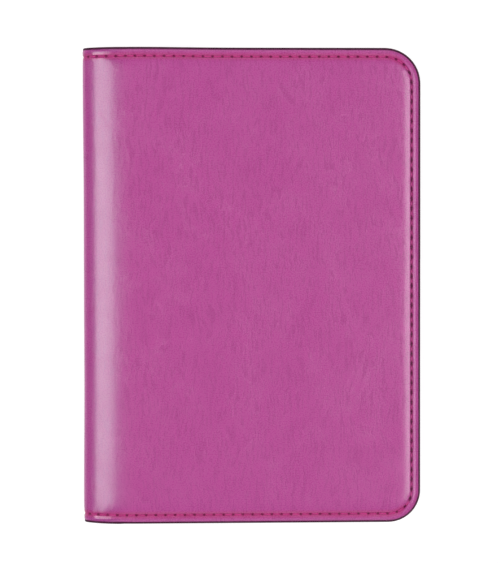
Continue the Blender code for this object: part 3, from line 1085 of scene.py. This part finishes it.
def opening_edge(name, side, layer, route):
    p, y = route.T
    inset = inset_of(p, y)
    top = rippled_face(p, y, inset, layer)
    bottom = top + panel_thickness(inset)
    trim = swept_edge(name, side, route, outward_of(route), top, bottom, OPENING_PAINT, PAINT_LOOK)
    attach(trim, f"{side}_cover")


def passport_sleeve():
    """The back cover's sleeve, which is open towards the spine and has a thumb notch there."""
    ys = np.union1d(corner_rows(0), np.sin(NOTCH_ANGLES) * NOTCH_RADIUS)
    ys = ys[np.append(True, np.diff(ys) > LEAST_ROW)]
    notch = np.sqrt(np.maximum(NOTCH_RADIUS**2 - ys**2, 0))
    start = SLEEVE_START + notch

    def from_opening(p, y):
        from_line = p - SLEEVE_START
        from_notch = np.hypot(p - SLEEVE_START, y) - NOTCH_RADIUS
        return np.minimum(from_line, from_notch)

    sleeve = panel("passport_sleeve_panel", "back", 0, start, ys, from_opening)
    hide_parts("passport_sleeve")
    route = np.stack([start, ys], axis=1)[::-1]
    opening_edge("passport_sleeve_edge", "back", 0, route)


def pockets():
    """The front cover's full-height slip pocket and the stepped card slots on it."""
    ys = corner_rows(0)
    start = np.full(len(ys), PANEL_START)
    pocket = panel("slip_pocket", "front", 0, start, ys, lambda p, y: p - PANEL_START)
    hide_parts("slip_pocket_panel")
    opening_edge("slip_pocket_edge", "front", 0, np.stack([start, ys], axis=1)[::-1])
    for layer, (name, top) in enumerate(zip(SLOTS, SLOT_TOPS), 1):
        ys = corner_rows(0, top)
        start = np.full(len(ys), PANEL_START)
        slot = panel(f"card_slot_{name}_panel", "front", layer, start, ys, lambda p, y: top - y)
        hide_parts(f"card_slot_{name}")
        across = np.linspace(PANEL_START, EDGE_P, 60)[::-1]
        route = np.stack([across, np.full(len(across), top)], axis=1)
        opening_edge(f"card_slot_{name}_edge", "front", layer, route)


def slot_stitches():
    """The line of stitches that closes the card slots' spine side."""
    low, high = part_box("card_slot_thread")
    line_p = p_at((low.x + high.x) / 2)
    from_tail, below_top = SLOT_THREAD_ENDS
    start = from_tail - LEATHER_HEAD
    count = round((SLOT_TOPS[0] - start) / STITCH_PITCH)
    pitch = (SLOT_TOPS[0] - below_top - start) / count

    def place(stitch):
        y = start + stitch * pitch
        p = np.full(len(y), line_p)
        layer = sum(np.where(y < top, 1, 0) for top in SLOT_TOPS)
        inset = inset_of(p, y)
        return p, y, panel_face(p, y, inset, layer) + panel_thickness(inset)

    points, faces, uv = thread_loops(place, count, SLOT_THREAD_LIFT, SLOT_THREAD_RADIUS, "front")
    thread = new_piece("card_slot_stitches", points, faces, uv, THREAD_LOOK, "front", sharp=75)
    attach(thread, "front_cover")
    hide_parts("card_slot_thread")


def reinforcement(side):
    """Half of the spine's stiffening strip, under the leather."""
    rows, columns = STRIP_GRID
    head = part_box("spine_reinforcement")[1].y
    ys = np.linspace(-head, head, rows)
    p = np.repeat(np.linspace(0, 1, columns)[None, :] * STRIP_REACH, rows, axis=0)
    grid = lattice(p, np.repeat(ys[:, None], columns, axis=1))
    p, y = grid[:2]
    outer = leather_back(p, y, inset_of(p, y)) + GAP
    strip = thick_layer(f"{side}_spine_strip", side, grid, outer, outer + STRIP, BOARD_LOOK)
    bend_with(strip, side)
    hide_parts("spine_reinforcement")


skin_grid, skin_stitches = cover_grid(in_mm(SKIN_INSETS), SKIN_SAMPLES)
lining_grid, _ = cover_grid(in_mm([*HEM_INSETS, 7.4]), LINING_SAMPLES)
for side in SIDES:
    cover_skin(side, skin_grid, skin_stitches)
    cover_lining(side, lining_grid)
    cover_edge(side)
    seam_stitches(side)
    cover_foam(side)
    reinforcement(side)
passport_sleeve()
pockets()
slot_stitches()
for side in SIDES:
    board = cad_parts[f"{side}_board"]
    board.data.materials[0] = BOARD_LOOK


# The floor, lights and camera

FLOOR_LEVEL = -0.02 * MM
FLOOR_PAINT = 0.25
FLOOR_GLOW = 0.85
STUDIO_RADIUS = 8
STUDIO_SIDES = 48
WORLD_GLOW = 0.15
LIGHTS = (  # name, lean and heading in degrees, size in metres, radiance
    ("softbox_left", 34.4, 180, (0.443, 0.52), 6.7),
    ("softbox_right", 34.4, 0, (0.54, 0.655), 4.4),
    ("rim_light_head", 55, 90, (0.5, 0.5), 1.2),
    ("rim_light_tail", 55, 270, (0.5, 0.5), 1.2),
)
CAMERA_LENS = 130.1
CAMERA_ROLL = 0.10  # in degrees
CAMERA_AIM = (-0.75 * MM, 1.37 * MM, THICKNESS - HEM_DEPTH)
CAMERA_PLACE = (-24 * MM, 16.27 * MM, 0.6115)


def studio_surface(name, points, faces, paint, glow):
    mesh = bpy.data.meshes.new(name)
    mesh.from_pydata(points, [], faces)
    glowing = {"Emission_Color": (1, 1, 1, 1), "Emission_Strength": glow}
    look = Look(name, Base_Color=(paint, paint, paint, 1), Roughness=0.9, **glowing)
    mesh.materials.append(look.material)
    surface = bpy.data.objects.new(name, mesh)
    bpy.context.scene.collection.objects.link(surface)
    return surface


def floor_and_backdrop():
    """A white floor, and a wall round it that only the camera sees, so it adds no light."""
    turns = [2 * math.pi * i / STUDIO_SIDES for i in range(STUDIO_SIDES)]
    circle = [(STUDIO_RADIUS * math.cos(t), STUDIO_RADIUS * math.sin(t)) for t in turns]
    low = [(x, y, FLOOR_LEVEL) for x, y in circle]
    high = [(x, y, STUDIO_RADIUS) for x, y in circle]
    studio_surface("floor", low, [range(STUDIO_SIDES)], FLOOR_PAINT, FLOOR_GLOW)
    wall = []
    for i in range(STUDIO_SIDES):
        following = (i + 1) % STUDIO_SIDES
        wall.append((i, following, following + STUDIO_SIDES, i + STUDIO_SIDES))
    backdrop = studio_surface("backdrop", low + high, wall, 0.0, 1.0)
    backdrop.visible_diffuse = False
    backdrop.visible_glossy = False
    backdrop.visible_shadow = False


def softbox(name, lean, heading, size, radiance):
    """A soft light a metre away, leaning this far from overhead towards a heading from +X, in degrees."""
    lamp = bpy.data.lights.new(name, "AREA")
    lamp.shape = "RECTANGLE"
    lamp.size, lamp.size_y = size
    lamp.energy = radiance * math.pi * size[0] * size[1]
    lean, heading = math.radians(lean), math.radians(heading)
    flat = math.sin(lean)
    holder = bpy.data.objects.new(name, lamp)
    holder.location = (flat * math.cos(heading), flat * math.sin(heading), math.cos(lean))
    holder.rotation_euler = (0, lean, heading)
    holder.visible_camera = False
    bpy.context.scene.collection.objects.link(holder)


def studio():
    """A dim white world and the lights. Colours are shown as they are."""
    world = bpy.data.worlds.new("studio")
    world.use_nodes = True
    background = world.node_tree.nodes["Background"]
    background.inputs["Color"].default_value = (1, 1, 1, 1)
    background.inputs["Strength"].default_value = WORLD_GLOW
    bpy.context.scene.world = world
    for light in LIGHTS:
        softbox(*light)
    bpy.context.scene.view_settings.view_transform = "Standard"


def camera():
    """Almost straight above the cover, turned by a tenth of a degree."""
    data = bpy.data.cameras.new("camera")
    data.sensor_width = 36
    data.lens = CAMERA_LENS
    eye = bpy.data.objects.new("camera", data)
    eye.location = CAMERA_PLACE
    towards = Vector(CAMERA_AIM) - Vector(CAMERA_PLACE)
    back = -towards.normalized()
    right = Vector((0, 1, 0)).cross(back).normalized()
    right.rotate(Quaternion(back, math.radians(-CAMERA_ROLL)))
    up = back.cross(right)
    eye.rotation_euler = Matrix((right, up, back)).transposed().to_euler()
    bpy.context.scene.collection.objects.link(eye)
    bpy.context.scene.camera = eye


floor_and_backdrop()
studio()
camera()
